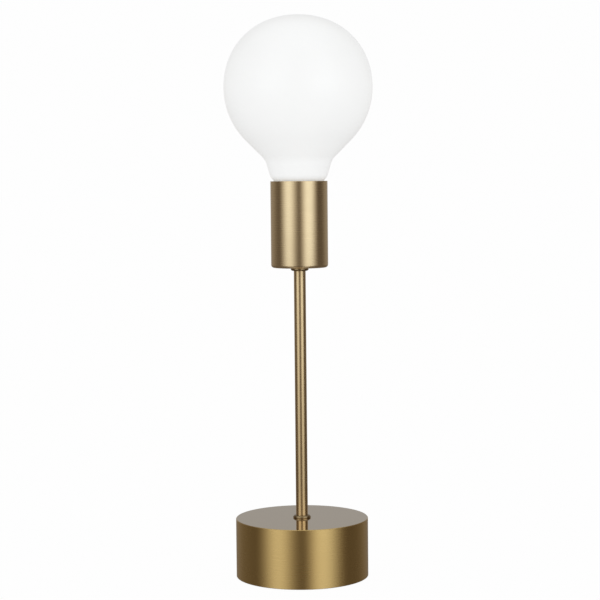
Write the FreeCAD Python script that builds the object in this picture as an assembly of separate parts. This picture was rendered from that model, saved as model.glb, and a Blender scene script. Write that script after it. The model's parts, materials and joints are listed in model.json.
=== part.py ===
"""Bare bulb table lamp, in millimetres.

Frame: +Z up, the origin is the centre of the base where it stands on the table, and the cord
inlet faces +Y. Every piece is one solid, or one group of like solids, in its own STEP file.
"""
import FreeCAD
import Part
import math
import os

Vector = FreeCAD.Vector
UP = Vector(0, 0, 1)
TO_REAR = Vector(0, 1, 0)
TO_RIGHT = Vector(1, 0, 0)
CENTRE = Vector(0, 0, 0)

# ---- fits and clearances
slip_gap = 0.05            # radial room of a sliding or turning fit
hole_gap = 0.2             # radial room of a through hole round a tube or screw
case_gap = 0.3             # radial room of a lid or liner in its case
thread_gap = 0.35          # radial room between the bulb's cap and the threaded shell

# ---- base
base_radius = 56.0
base_height = 50.5         # table to top face
rim_standoff = 1.0         # the shell's rim clears the table by this
shell_wall = 1.2
shell_top = 1.5
top_bevel = 0.45           # crisp bright edge round the top
inner_corner = 1.0

weight_gap = 0.5           # at the top, and more below because the casting tapers
weight_height = 16.0
weight_draft = 0.5         # loss of radius over the height
weight_edge = 1.5
nut_recess_radius = 12.0
nut_recess_depth = 8.0
pillar_count = 3
pillar_inset = 17.0        # of the pillars from the shell's side
pillar_tip_radius = 4.8
pillar_root_radius = 5.8
first_pillar = 30.0        # degrees from +X, which keeps the rear free for the cord

foot_height = 3.0
foot_radius = 6.0
foot_edge = 1.0
foot_inset = 11.0          # of the feet from the shell's side
foot_count = 4
first_foot = 45.0
cover_thickness = 1.2
cover_flange = 4.0         # height of the upturned rim
cover_pan_inset = 28.0     # of the raised centre from the shell's side
cover_pan_rise = 1.0

cover_screw_radius = 2.0
cover_screw_bite = 7.0     # into the pillars
cover_head_radius = 3.6
cover_head_height = 1.8

# ---- cord inlet
inlet_height = 14.0
inlet_bore = 3.25
bush_radius = 4.5
bush_lip = 1.5             # the lips stand out this far round the hole
bush_outer_lip = 1.2       # thickness outside the shell
bush_inner_lip = 1.4
bush_length = 8.7

# ---- stem
stem_radius = 5.0
stem_wall = 1.0
stem_length = 212.5        # from the base's top to the cup's underside
stem_tail = 7.4            # below the web of the weight, for washer and nut
stem_head = 10.5           # above the cup's underside
hex_flats = 14.0
washer_radius = 9.0
washer_thickness = 1.2
stem_nut_height = 5.0
collar_radius = 7.5
lower_collar_edge = 1.1    # thickness of the rounded edge
lower_collar_height = 2.2
upper_collar_edge = 2.0
upper_collar_height = 2.8
collar_throat = 1.2        # width of the collars' narrow end
collar_crown = 0.5
wire_bush_flange = 0.8
wire_bush_depth = 4.5
wire_bush_wall = 0.9

# ---- socket cup
cup_radius = 24.0
cup_height = 72.5
cup_wall = 1.0
cup_floor = 1.5
cup_corner = 2.5
cup_washer_thickness = 1.0
cup_washer_radius = 10.0
cup_nut_height = 3.5

# ---- lampholder
dome_neck_radius = 8.5
dome_neck_height = 3.0
dome_floor = 2.0
dome_shoulder = 8.0        # height over which the dome widens
dome_wall = 2.0
dome_neck_round = 1.5
dome_round = 5.0
dome_height = 21.0
holder_radius = 19.5
spigot_height = 6.0        # the barrel laps the dome by this
spigot_wall = 1.0
core_radius = 17.1
core_height = 8.0
core_edge = 0.5
core_drop = 4.0            # the core's underside below the dome's rim
ledge_width = 1.5
barrel_wall = 2.3
barrel_flange = 1.8
barrel_lip = 3.0
barrel_height = 38.0
barrel_edge = 1.0
shell_bore = 13.25
shell_sheet = 0.4
shell_depth = 24.5
shell_foot_radius = 9.5

terminal_offset = 7.5
terminal_width = 6.0
terminal_depth = 8.0
terminal_height = 8.0
terminal_inset = 4.0       # how far it is let into the core
terminal_hole = 1.3
terminal_hole_depth = 5.0
terminal_screw_radius = 1.2
terminal_screw_head = 2.0
terminal_head_height = 1.4
grub_slot_depth = 0.7      # of the slots of screws without a head
rivet_radius = 1.2
rivet_head_radius = 1.8
rivet_head_height = 0.6
tab_width = 5.0
tab_reach = 1.9            # past the rivet, towards the axis
tab_lap = 1.0              # of the tab under the shell's foot

leaf_width = 5.0
leaf_sheet = 0.4
leaf_root = 5.4            # distance of the bend line from the axis
leaf_root_length = 3.6
leaf_flat = 1.7            # half length of the raised flat under the cap contact
leaf_tip = 3.4
leaf_tip_drop = 0.8
leaf_gap = 0.1             # under the seated cap contact

# ---- bulb
contact_height = 4.0       # the cap contact's underside above the core
contact_radius = 4.5
contact_thickness = 1.4
contact_crown = 0.4
insulator_wall = 0.7
insulator_lift = 0.3       # of its foot above the button's edge
insulator_height = 4.3
insulator_plug = 1.4       # depth inside the cap's curled edge
curl_gap = 1.0             # of the cap's edge above the insulator's cone
cap_radius = 12.9
cap_sheet = 0.35
cap_curl_radius = 11.2
cap_curl_round = 1.1
cap_length = 21.2          # from the curled lower edge to the top of the skirt
skirt_height = 4.5
skirt_radius = 13.8
skirt_step = 0.9           # height over which the cap widens to its skirt
glass_wall = 0.9
globe_radius = 62.3
globe_rise = 60.4          # from the widest circle to the crown
globe_fullness = 0.585     # handle share of the crown curve: a circle has 0.552
globe_centre = 115.5       # the widest circle above the cap contact's underside
neck_seat = 1.0            # the glass stands this far above the skirt's shoulder
neck_radius = 13.35
neck_bend_height = 27.4    # above the cap contact, where the neck leaves the cap
neck_knee_radius = 24.0
neck_knee_height = 41.6
neck_waist_height = 55.4   # where the straight shoulder ends
neck_bend_round = 3.0
neck_knee_round = 10.0
neck_waist_round = 14.0
shoulder_angle = 45.0      # slope at which the shoulder leaves the globe

mount_foot_edge = 1.2
mount_flare = 18.0         # height over which the stem narrows to its waist
mount_flare_round = 6.0
mount_taper = 1.5          # height from the waist to the rod
mount_waist_radius = 3.5
mount_waist_rise = 28.0
mount_rod_radius = 2.0
mount_rod_length = 46.0
mount_bead_radius = 3.2
mount_bead_height = 3.0
mount_bead_taper = 3.0     # height over which the rod widens to the bead
filament_count = 4
filament_radius = 1.1
filament_length = 38.0
filament_circle = 13.0
filament_lean = 4.0        # mm further out at the lower end
filament_top_gap = 4.0     # from the rod's end down to the upper filament ends
support_radius = 0.4
support_drop = 4.0         # of the lower supports below the stem's waist
board_width = 17.0
board_height = 13.0
board_thickness = 1.2
board_seat = 0.6           # above the insulator
capacitor_radius = 3.5
capacitor_height = 9.0
capacitor_rise = 1.0       # above the board's lower edge
lead_offset = 5.0          # of the bare leads from the axis

# ---- wiring
wire_radius = 1.1
wire_offset = 1.25         # of each wire from the stem's axis
block_poles = 3
block_pitch = 9.0
block_depth = 16.0
block_height = 11.0
block_rear = 24.0          # the block's centre behind the axis
block_end = 5.0            # from the outer poles to the ends
block_groove = 1.6
block_groove_depth = 3.0
barrel_bore = 1.4
barrel_outer = 2.3
barrel_length = 14.0
barrel_depth = 5.0         # the barrels' centres below the weight
clamp_screw_radius = 1.3
clamp_screw_offset = 3.5
clamp_screw_inset = 0.8
fixing_screw_radius = 1.5
fixing_head_radius = 2.6
fixing_head_height = 1.5
fixing_bite = 5.0
blind_end = 1.0            # of a threaded hole past its screw
wire_bend = 3.5            # inside the lamp every wire turns on this radius
feed_run = 3.0             # from the block's face to a wire's first turn
fan_lead = 1.2             # from the tube's upper bush to the turn outwards
fan_landing = 2.3          # from the turn upwards to the terminal
lug_inset = 29.0           # of the earth screw from the shell's side
lug_rear = 3.0             # behind the axis
lug_radius = 4.2
lug_sheet = 0.8
lug_barrel_radius = 1.9
lug_barrel_length = 6.0
lug_lap = 0.4              # of the barrel into the ring
earth_screw_radius = 2.0
earth_screw_bite = 6.0
earth_head_height = 2.0
earth_head_inset = 0.8     # of the head's edge from the lug's
lug_barrel_inset = 2.4     # how far the earth wire reaches into the lug's barrel from its end

# ---- heights that follow from the sizes above
shell_ceiling = base_height - shell_top
weight_floor = shell_ceiling - weight_height
nut_seat = weight_floor + nut_recess_depth
cover_top = foot_height + cover_thickness
stem_bottom = nut_seat - stem_tail
cup_bottom = base_height + stem_length
cup_inside = cup_bottom + cup_floor
stem_top = cup_bottom + stem_head
dome_bottom = cup_inside + cup_washer_thickness + cup_nut_height
dome_inside = dome_bottom + dome_neck_height + dome_floor
dome_top = dome_bottom + dome_height
core_bottom = dome_top - core_drop
core_top = core_bottom + core_height
barrel_bottom = dome_top - spigot_height
barrel_top = barrel_bottom + barrel_height
contact_bottom = core_top + contact_height
cap_bottom = contact_bottom + insulator_height + curl_gap
cap_top = cap_bottom + cap_length
cap_shoulder = cap_top - skirt_height
glass_foot = cap_shoulder + neck_seat
board_bottom = cap_bottom + insulator_plug + board_seat
mount_waist = glass_foot + mount_waist_rise
mount_tip = mount_waist + mount_rod_length
barrel_axis = weight_floor - barrel_depth
shell_inside = base_radius - shell_wall
pillar_circle = base_radius - pillar_inset
foot_circle = base_radius - foot_inset
cover_pan_radius = base_radius - cover_pan_inset
lug_place = Vector(lug_inset - base_radius, lug_rear, 0)
stem_bore = stem_radius - stem_wall


# ---- shared operations

def rounded_edges(points, rounds, closed=False):
    """Straight runs joined by tangent arcs. A round of 0 leaves its corner sharp."""
    count = len(points)
    entries, middles, exits = [], [], []
    for i, (corner, round_radius) in enumerate(zip(points, rounds)):
        at_end = not closed and i in (0, count - 1)
        if at_end or round_radius == 0:
            entries.append(corner)
            middles.append(None)
            exits.append(corner)
            continue
        back = (points[i - 1] - corner).normalize()
        ahead = (points[(i + 1) % count] - corner).normalize()
        half_angle = back.getAngle(ahead) / 2
        cut = round_radius / math.tan(half_angle)
        inward = (back + ahead).normalize()
        entries.append(corner + back * cut)
        middles.append(corner + inward * (round_radius / math.sin(half_angle) - round_radius))
        exits.append(corner + ahead * cut)
    edges = []
    for i in range(count):
        if middles[i] is not None:
            edges.append(Part.Arc(entries[i], middles[i], exits[i]).toShape())
        if i == count - 1 and not closed:
            break
        start, end = exits[i], entries[(i + 1) % count]
        if start.distanceToPoint(end) > 1e-6:
            edges.append(Part.LineSegment(start, end).toShape())
    return edges


def turned(corners):
    """Solid of revolution about Z. Each corner is (radius, height) or (radius, height, round)."""
    points = [Vector(corner[0], 0, corner[1]) for corner in corners]
    rounds = [corner[2] if len(corner) > 2 else 0 for corner in corners]
    outline = Part.Wire(rounded_edges(points, rounds, closed=True))
    return Part.Face(outline).revolve(CENTRE, UP, 360)


def drum(radius, bottom, top, centre=CENTRE):
    return Part.makeCylinder(radius, top - bottom, Vector(centre.x, centre.y, bottom))


def ring(outer, bore, bottom, top):
    return drum(outer, bottom, top).cut(drum(bore, bottom, top))


def box(low, high):
    size = high - low
    return Part.makeBox(size.x, size.y, size.z, low)


def round_places(circle, count, first):
    """Points evenly spaced on a circle about the lamp's axis."""
    step = 360.0 / count
    angles = [math.radians(first + step * i) for i in range(count)]
    return [Vector(circle * math.cos(a), circle * math.sin(a), 0) for a in angles]


def hex_nut(flats, bore, bottom, height):
    """Nut with its corners turned off at both faces."""
    corner = flats / math.sqrt(3)
    points = [place + Vector(0, 0, bottom) for place in round_places(corner, 6, 0)]
    prism = Part.Face(Part.makePolygon(points + points[:1])).extrude(UP * height)
    turned_off = corner - flats / 2
    lens = turned([
        (0, bottom), (flats / 2, bottom), (corner, bottom + turned_off * 0.6),
        (corner, bottom + height - turned_off * 0.6), (flats / 2, bottom + height),
        (0, bottom + height)])
    return prism.common(lens).cut(drum(bore, bottom, bottom + height))


def slotted_screw(radius, length, head_radius, head_height):
    """Screw along Z: the head's seat is at z = 0, the shank rises and the slotted head hangs."""
    slot_top = -head_height * 0.45
    slot_half = head_radius * 0.14
    tip_chamfer = radius * 0.4
    body = turned([
        (0, -head_height), (head_radius, -head_height, -slot_top), (head_radius, 0), (radius, 0),
        (radius, length - tip_chamfer), (radius - tip_chamfer, length), (0, length)])
    slot = box(
        Vector(-head_radius, -slot_half, -head_height), Vector(head_radius, slot_half, slot_top))
    return body.cut(slot)


def laid_wire(points, bend, radius):
    """Round wire along straight runs and tangent arcs."""
    rounds = [bend] * len(points)
    path = Part.Wire(rounded_edges(points, rounds))
    along = (points[1] - points[0]).normalize()
    section = Part.Wire(Part.makeCircle(radius, points[0], along))
    wire = path.makePipeShell([section], True, False)
    drift = wire.Volume / (math.pi * radius ** 2 * path.Length) - 1
    print("wire: length %.1f mm, bend radius %.1f mm, volume off by %.4f" % (
        path.Length, bend, drift))
    return wire


# ---- base

def base_shell():
    """Drawn drum, open below, with holes for the stem and the cord bush."""
    shell = turned([
        (stem_radius + hole_gap, base_height), (base_radius - top_bevel, base_height),
        (base_radius, base_height - top_bevel), (base_radius, rim_standoff),
        (shell_inside, rim_standoff), (shell_inside, shell_ceiling, inner_corner),
        (stem_radius + hole_gap, shell_ceiling)])
    inlet = Part.makeCylinder(
        bush_radius + slip_gap, base_radius, Vector(0, 0, inlet_height), TO_REAR)
    return shell.cut(inlet)


def base_weight():
    """Iron casting: tapered disc, nut recess and three pillars for the cover."""
    top_radius = shell_inside - weight_gap
    floor_radius = top_radius - weight_draft
    disc = turned([
        (stem_radius + hole_gap, nut_seat), (nut_recess_radius, nut_seat),
        (nut_recess_radius, weight_floor), (floor_radius, weight_floor, weight_edge),
        (top_radius, shell_ceiling, weight_edge), (stem_radius + hole_gap, shell_ceiling)])
    pillar_height = weight_floor - cover_top
    for place in round_places(pillar_circle, pillar_count, first_pillar):
        foot = place + UP * cover_top
        pillar = Part.makeCone(pillar_tip_radius, pillar_root_radius, pillar_height, foot)
        root = drum(pillar_root_radius, weight_floor, weight_floor + weight_edge, place)
        disc = disc.fuse([pillar, root])
    for place in round_places(pillar_circle, pillar_count, first_pillar):
        top = cover_top + cover_screw_bite + blind_end
        disc = disc.cut(drum(cover_screw_radius + slip_gap, cover_top, top, place))
    for place in fixing_places():
        top = weight_floor + fixing_bite + blind_end
        disc = disc.cut(drum(fixing_screw_radius + slip_gap, weight_floor, top, place))
    earth_top = weight_floor + earth_screw_bite + blind_end
    disc = disc.cut(drum(earth_screw_radius + slip_gap, weight_floor, earth_top, lug_place))
    return disc.removeSplitter()


def base_cover():
    """Pressed steel lid with an upturned rim and a raised pan."""
    outer = shell_inside - case_gap
    inner = outer - cover_thickness
    pan_floor = foot_height + cover_pan_rise
    pan_inner = cover_pan_radius - cover_pan_rise
    lid = turned([
        (0, pan_floor), (pan_inner, pan_floor), (cover_pan_radius, foot_height),
        (outer, foot_height, cover_thickness * 1.4), (outer, foot_height + cover_flange),
        (inner, foot_height + cover_flange), (inner, cover_top, cover_thickness * 0.4),
        (cover_pan_radius, cover_top), (pan_inner, cover_top + cover_pan_rise),
        (0, cover_top + cover_pan_rise)])
    for place in round_places(pillar_circle, pillar_count, first_pillar):
        lid = lid.cut(drum(cover_screw_radius + hole_gap, 0, cover_top, place))
    return lid


def cover_screws():
    """Three screws up through the cover into the pillars."""
    length = cover_thickness + cover_screw_bite
    screws = []
    for place in round_places(pillar_circle, pillar_count, first_pillar):
        screw = slotted_screw(cover_screw_radius, length, cover_head_radius, cover_head_height)
        screw.translate(place + UP * foot_height)
        screws.append(screw)
    return Part.makeCompound(screws)


def rubber_feet():
    """Four moulded pads under the cover."""
    feet = []
    for place in round_places(foot_circle, foot_count, first_foot):
        foot = turned([
            (0, 0), (foot_radius, 0, foot_edge), (foot_radius, foot_height), (0, foot_height)])
        foot.translate(place)
        feet.append(foot)
    return Part.makeCompound(feet)


def cord_bush():
    """Snap-in bush whose two lips follow the round wall inside and out."""
    outer_end = base_radius + bush_outer_lip
    inner_end = outer_end - bush_length

    def barrel(radius, start, end):
        return Part.makeCylinder(radius, end - start, Vector(0, start, inlet_height), TO_REAR)

    lip = bush_radius + bush_lip
    wall_outside = drum(base_radius + slip_gap, 0, base_height)
    wall_inside = drum(shell_inside - slip_gap, 0, base_height)
    outer_lip = barrel(lip, shell_inside, outer_end).cut(wall_outside)
    outer_lip = outer_lip.makeFillet(bush_outer_lip * 0.5, rim_edges(outer_lip, outer_end))
    lip_start = shell_inside - bush_inner_lip
    inner_lip = barrel(lip, lip_start, base_radius).common(wall_inside)
    bush = barrel(bush_radius, inner_end, outer_end).fuse([outer_lip, inner_lip])
    return bush.cut(barrel(inlet_bore, inner_end, outer_end)).removeSplitter()


def rim_edges(shape, rear):
    """The round edges that lie flat at a given distance to the rear."""
    return [edge for edge in shape.Edges if abs(edge.BoundBox.YMin - rear) < 1e-6]


# ---- stem

def stem_tube():
    return ring(stem_radius, stem_bore, stem_bottom, stem_top)


def stem_washer():
    return ring(washer_radius, stem_radius + hole_gap, nut_seat - washer_thickness, nut_seat)


def stem_nut():
    bottom = nut_seat - washer_thickness - stem_nut_height
    return hex_nut(hex_flats, stem_radius + slip_gap, bottom, stem_nut_height)


def collar(wide_end, direction, edge, height):
    """Slip ring with a rounded edge and a flank that rises to the stem."""
    bore = stem_radius + slip_gap
    edge_round = edge * 0.45
    outline = [
        (bore, 0), (collar_radius, 0, edge_round), (collar_radius, edge, edge_round),
        (bore + collar_throat, height, collar_crown), (bore, height)]
    return turned([
        (corner[0], wide_end + direction * corner[1]) + corner[2:] for corner in outline])


def tube_bushes():
    """Plastic liners that keep the wires off the tube's cut ends."""
    outer = stem_bore - slip_gap
    bore = outer - wire_bush_wall
    bushes = []
    for end, outward in ((stem_bottom, -1), (stem_top, 1)):
        inner_end = end - outward * wire_bush_depth
        outer_end = end + outward * wire_bush_flange
        flange = stem_radius - slip_gap
        bushes.append(turned([
            (bore, inner_end), (outer, inner_end), (outer, end), (flange, end),
            (flange, outer_end), (bore, outer_end, wire_bush_flange * 0.6)]))
    return Part.makeCompound(bushes)


# ---- socket cup

def socket_cup():
    """Deep straight cup with a rounded lower edge."""
    inside = cup_radius - cup_wall
    rim = cup_bottom + cup_height
    inner_round = cup_corner - cup_wall
    edge = cup_wall * 0.3
    return turned([
        (stem_radius + hole_gap, cup_bottom), (cup_radius, cup_bottom, cup_corner),
        (cup_radius, rim, edge), (inside, rim, edge), (inside, cup_inside, inner_round),
        (stem_radius + hole_gap, cup_inside)])


def cup_washer():
    top = cup_inside + cup_washer_thickness
    return ring(cup_washer_radius, stem_radius + hole_gap, cup_inside, top)


def cup_nut():
    bottom = cup_inside + cup_washer_thickness
    return hex_nut(hex_flats, stem_radius + slip_gap, bottom, cup_nut_height)


# ---- lampholder

def holder_dome():
    """Lower half of the lampholder: a necked cup with a ledge for the core and a lapped rim."""
    bore = stem_radius + slip_gap
    shoulder = dome_bottom + dome_neck_height + dome_shoulder
    inside = core_radius + case_gap / 2
    cavity = inside - ledge_width
    spigot = inside + spigot_wall
    outer = holder_radius - slip_gap
    widen = dome_inside + dome_shoulder * 0.5
    dome = turned([
        (bore, dome_bottom), (dome_neck_radius, dome_bottom),
        (dome_neck_radius, dome_bottom + dome_neck_height, dome_neck_round),
        (outer, shoulder, dome_round),
        (outer, barrel_bottom), (spigot, barrel_bottom), (spigot, dome_top), (inside, dome_top),
        (inside, core_bottom), (cavity, core_bottom), (cavity, widen, dome_round - dome_wall),
        (cavity - dome_wall * 2, dome_inside, 1.0), (bore, dome_inside)])
    hole_height = dome_bottom + dome_neck_height / 2
    hole = Part.makeCylinder(
        terminal_screw_radius + slip_gap, dome_neck_radius, Vector(0, 0, hole_height), -TO_REAR)
    return dome.cut(hole)


def holder_set_screw():
    """Grub screw that locks the dome on the stem."""
    height = dome_bottom + dome_neck_height / 2
    start = stem_radius + slip_gap
    length = dome_neck_radius - start
    screw = Part.makeCylinder(terminal_screw_radius, length, Vector(0, -start, height), -TO_REAR)
    slot_half = terminal_screw_radius * 0.2
    slot = box(
        Vector(-terminal_screw_radius, -dome_neck_radius, height - slot_half),
        Vector(terminal_screw_radius, grub_slot_depth - dome_neck_radius, height + slot_half))
    return screw.cut(slot)


def holder_core():
    """Ceramic carrier: pockets for the terminals below, rivet holes through to the top."""
    core = turned([
        (0, core_bottom), (core_radius, core_bottom, core_edge), (core_radius, core_top, core_edge),
        (0, core_top)])
    for side in (-1, 1):
        place = Vector(side * terminal_offset, 0, 0)
        half = Vector(terminal_width / 2 + slip_gap, terminal_depth / 2 + slip_gap, 0)
        pocket = box(
            place - half + UP * core_bottom, place + half + UP * (core_bottom + terminal_inset))
        core = core.cut(pocket)
        core = core.cut(drum(rivet_radius + slip_gap, core_bottom, core_top, place))
    return core


def terminal_blocks():
    """Two brass blocks: a wire hole from below and a screw hole from the front."""
    blocks = []
    top = core_bottom + terminal_inset
    bottom = top - terminal_height
    screw_height = bottom + terminal_hole_depth * 0.4
    for side in (-1, 1):
        place = Vector(side * terminal_offset, 0, 0)
        half = Vector(terminal_width / 2, terminal_depth / 2, 0)
        block = box(place - half + UP * bottom, place + half + UP * top)
        upright = [edge for edge in block.Edges if abs(edge.tangentAt(edge.FirstParameter).z) > 0.9]
        block = block.makeFillet(0.6, upright)
        block = block.cut(drum(terminal_hole, bottom, bottom + terminal_hole_depth, place))
        screw_hole = Part.makeCylinder(
            terminal_screw_radius + slip_gap, terminal_depth / 2,
            place + UP * screw_height, -TO_REAR)
        blocks.append(block.cut(screw_hole))
    return Part.makeCompound(blocks)


def terminal_screws():
    """One clamp screw in each terminal, its tip on the wire."""
    screws = []
    height = core_bottom + terminal_inset - terminal_height + terminal_hole_depth * 0.4
    for side in (-1, 1):
        length = terminal_depth / 2 - wire_radius - slip_gap
        screw = slotted_screw(
            terminal_screw_radius, length, terminal_screw_head, terminal_head_height)
        screw.rotate(CENTRE, TO_RIGHT, -90)
        screw.translate(Vector(side * terminal_offset, -terminal_depth / 2, height))
        screws.append(screw)
    return Part.makeCompound(screws)


def contact_rivets():
    """Rivets that join each terminal to its contact through the core."""
    rivets = []
    bottom = core_bottom + terminal_inset
    seat = core_top + shell_sheet
    for side in (-1, 1):
        rivet = turned([
            (0, bottom), (rivet_radius, bottom), (rivet_radius, seat), (rivet_head_radius, seat),
            (rivet_head_radius, seat + rivet_head_height, rivet_head_height * 0.6),
            (0, seat + rivet_head_height)])
        rivet.translate(Vector(side * terminal_offset, 0, 0))
        rivets.append(rivet)
    return Part.makeCompound(rivets)


def thread_shell():
    """Brass shell that takes the bulb's thread, with a riveted tab on the neutral side."""
    outer = shell_bore + shell_sheet
    foot_top = core_top + shell_sheet
    rim = core_top + shell_depth
    shell = turned([
        (shell_foot_radius, core_top), (outer, core_top, 1.0), (outer, rim), (shell_bore, rim),
        (shell_bore, foot_top, 0.6), (shell_foot_radius, foot_top)])
    inner_end = terminal_offset - tab_reach
    tab = box(
        Vector(-shell_foot_radius - tab_lap, -tab_width / 2, core_top),
        Vector(-inner_end, tab_width / 2, foot_top))
    hole = drum(rivet_radius + slip_gap, core_top, foot_top, Vector(-terminal_offset, 0, 0))
    return shell.fuse(tab).cut(hole).removeSplitter()


def contact_root():
    """Riveted end of the centre contact."""
    plate = box(
        Vector(leaf_root + slip_gap, -leaf_width / 2, core_top),
        Vector(leaf_root + leaf_root_length, leaf_width / 2, core_top + leaf_sheet))
    hole = drum(
        rivet_radius + slip_gap, core_top, core_top + leaf_sheet, Vector(terminal_offset, 0, 0))
    return plate.cut(hole)


def contact_leaf():
    """Cranked springy part of the centre contact, from its bend line to its tip."""
    low = core_top + leaf_sheet / 2
    high = contact_bottom - leaf_gap - leaf_sheet / 2
    centre_line = [
        Vector(leaf_root, 0, low), Vector(leaf_flat, 0, high), Vector(-leaf_flat, 0, high),
        Vector(-leaf_tip, 0, high - leaf_tip_drop)]
    half = leaf_sheet / 2
    upper = offset_line(centre_line, half)
    lower = offset_line(centre_line, -half)
    outline = Part.makePolygon(upper + lower[::-1] + upper[:1])
    leaf = Part.Face(outline).extrude(TO_REAR * leaf_width)
    leaf.translate(-TO_REAR * leaf_width / 2)
    leaf = leaf.cut(box(
        Vector(0, -leaf_width, core_top - 1), Vector(2 * leaf_root, leaf_width, core_top)))
    return leaf.cut(box(
        Vector(leaf_root, -leaf_width, core_top - 1),
        Vector(2 * leaf_root, leaf_width, core_top + contact_height)))


def offset_line(points, distance):
    """Points of a line in the XZ plane, moved sideways, with mitred corners."""
    normals = []
    for start, end in zip(points, points[1:]):
        along = (end - start).normalize()
        normals.append(Vector(along.z, 0, -along.x))
    moved = [points[0] + normals[0] * distance]
    for point, before, after in zip(points[1:], normals, normals[1:]):
        moved.append(point + (before + after) * (distance / (1 + before.dot(after))))
    moved.append(points[-1] + normals[-1] * distance)
    return moved


def holder_barrel():
    """Upper half of the lampholder: laps the dome, holds the core down and rings the shell."""
    spigot = core_radius + case_gap / 2 + spigot_wall + slip_gap
    over_core = core_radius + case_gap / 2
    shell_room = shell_bore + shell_sheet + thread_gap
    inside = holder_radius - barrel_wall
    flange_bottom = core_top + slip_gap
    lip_bore = skirt_radius + thread_gap
    return turned([
        (spigot, barrel_bottom), (holder_radius, barrel_bottom, 0.3),
        (holder_radius, barrel_top, barrel_edge), (lip_bore, barrel_top, 0.6),
        (lip_bore, barrel_top - barrel_lip), (inside, barrel_top - barrel_lip),
        (inside, flange_bottom + barrel_flange), (shell_room, flange_bottom + barrel_flange),
        (shell_room, flange_bottom), (over_core, flange_bottom), (over_core, dome_top + slip_gap),
        (spigot, dome_top + slip_gap)])


# ---- bulb

def cap_contact():
    """Button under the cap. It is round, so it looks the same however far the bulb has turned."""
    top = contact_bottom + contact_thickness
    return turned([
        (0, contact_bottom), (contact_radius * 0.5, contact_bottom, 1.0),
        (contact_radius, contact_bottom + contact_crown), (contact_radius, top), (0, top)])


def cap_insulator():
    """Glass cone between the button and the cap's curled edge."""
    seat = contact_bottom + contact_thickness
    top = cap_bottom
    hole = contact_radius + slip_gap
    foot = contact_bottom + contact_crown + insulator_lift
    curl = cap_curl_radius - slip_gap
    return turned([
        (0, seat + slip_gap), (hole, seat + slip_gap), (hole, foot), (hole + insulator_wall, foot),
        (curl, top, 1.0), (curl, top + insulator_plug), (0, top + insulator_plug)])


def bulb_cap():
    """Screw cap: curled lower edge, cylindrical wall and a wider skirt round the glass."""
    wall_inner, skirt_inner = cap_radius - cap_sheet, skirt_radius - cap_sheet
    step_outer, step_inner = cap_shoulder + skirt_step, cap_shoulder + skirt_step + cap_sheet / 2
    return turned([
        (cap_curl_radius, cap_bottom), (cap_radius, cap_bottom, cap_curl_round),
        (cap_radius, cap_shoulder, 0.5), (skirt_radius, step_outer, 0.4), (skirt_radius, cap_top),
        (skirt_inner, cap_top), (skirt_inner, step_inner), (wall_inner, cap_shoulder + cap_sheet / 2),
        (wall_inner, cap_bottom + cap_sheet, cap_curl_round - cap_sheet),
        (cap_curl_radius, cap_bottom + cap_sheet)])


def glass_edges(inset):
    """Half outline of the globe, from the crown to the neck's end, at a depth inside the glass."""
    base = UP * contact_bottom
    middle = base + UP * globe_centre
    angle = math.radians(shoulder_angle)
    to_leave = Vector(math.cos(angle), 0, -math.sin(angle))
    leave = middle + to_leave * globe_radius
    slope = Vector(-math.sin(angle), 0, -math.cos(angle))
    fall = leave.z - base.z - neck_waist_height
    waist = leave + slope * (fall / -slope.z)
    knee = base + Vector(neck_knee_radius, 0, neck_knee_height)
    bend = base + Vector(neck_radius, 0, neck_bend_height)
    foot = Vector(neck_radius, 0, glass_foot)
    neck = rounded_edges(
        offset_line([leave, waist, knee, bend, foot], inset),
        [0, neck_waist_round + inset, neck_knee_round - inset, neck_bend_round + inset, 0])

    wide, rise = globe_radius - inset, globe_rise - inset
    half = angle / 2
    belly = Part.Arc(
        middle + Vector(wide, 0, 0),
        middle + Vector(wide * math.cos(half), 0, -wide * math.sin(half)),
        middle + to_leave * wide).toShape()
    crown = Part.BezierCurve()
    crown.setPoles([
        middle + UP * rise, middle + Vector(wide * globe_fullness, 0, rise),
        middle + Vector(wide, 0, rise * globe_fullness), middle + Vector(wide, 0, 0)])
    return [crown.toShape(), belly] + neck, middle + UP * rise, neck[-1].Vertexes[-1].Point


def bulb_globe():
    """Opal glass globe, one even wall from the neck's end to the crown."""
    outer, outer_crown, outer_foot = glass_edges(0)
    inner, inner_crown, inner_foot = glass_edges(glass_wall)
    ends = [
        Part.LineSegment(outer_foot, inner_foot).toShape(),
        Part.LineSegment(inner_crown, outer_crown).toShape()]
    outline = Part.Wire(Part.__sortEdges__(outer + inner + ends))
    return Part.Face(outline).revolve(CENTRE, UP, 360)


def glass_mount():
    """Flared glass stem that closes the neck and carries the filaments."""
    outer = neck_radius - glass_wall - slip_gap
    bead_bottom = mount_tip - mount_bead_height
    return turned([
        (0, glass_foot), (outer, glass_foot), (outer, glass_foot + mount_foot_edge),
        (mount_waist_radius, glass_foot + mount_flare, mount_flare_round),
        (mount_waist_radius, mount_waist, 1.0),
        (mount_rod_radius, mount_waist + mount_taper, 0.5),
        (mount_rod_radius, bead_bottom - mount_bead_taper, 1.5),
        (mount_bead_radius, bead_bottom, 1.2), (mount_bead_radius, mount_tip, 1.4), (0, mount_tip)])


def filament_ends():
    """Lower and upper centre of each filament."""
    high = mount_tip - filament_top_gap
    low = high - filament_length
    lower = round_places(filament_circle + filament_lean, filament_count, 45)
    upper = round_places(filament_circle, filament_count, 45)
    return [(a + UP * low, b + UP * high) for a, b in zip(lower, upper)]


def led_filaments():
    rods = []
    for low, high in filament_ends():
        along = high - low
        rod = Part.makeCylinder(filament_radius, along.Length, low, along)
        rods.append(rod.makeFillet(filament_radius * 0.6, rod.Edges[0:1] + rod.Edges[2:3]))
    return Part.makeCompound(rods)


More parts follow.
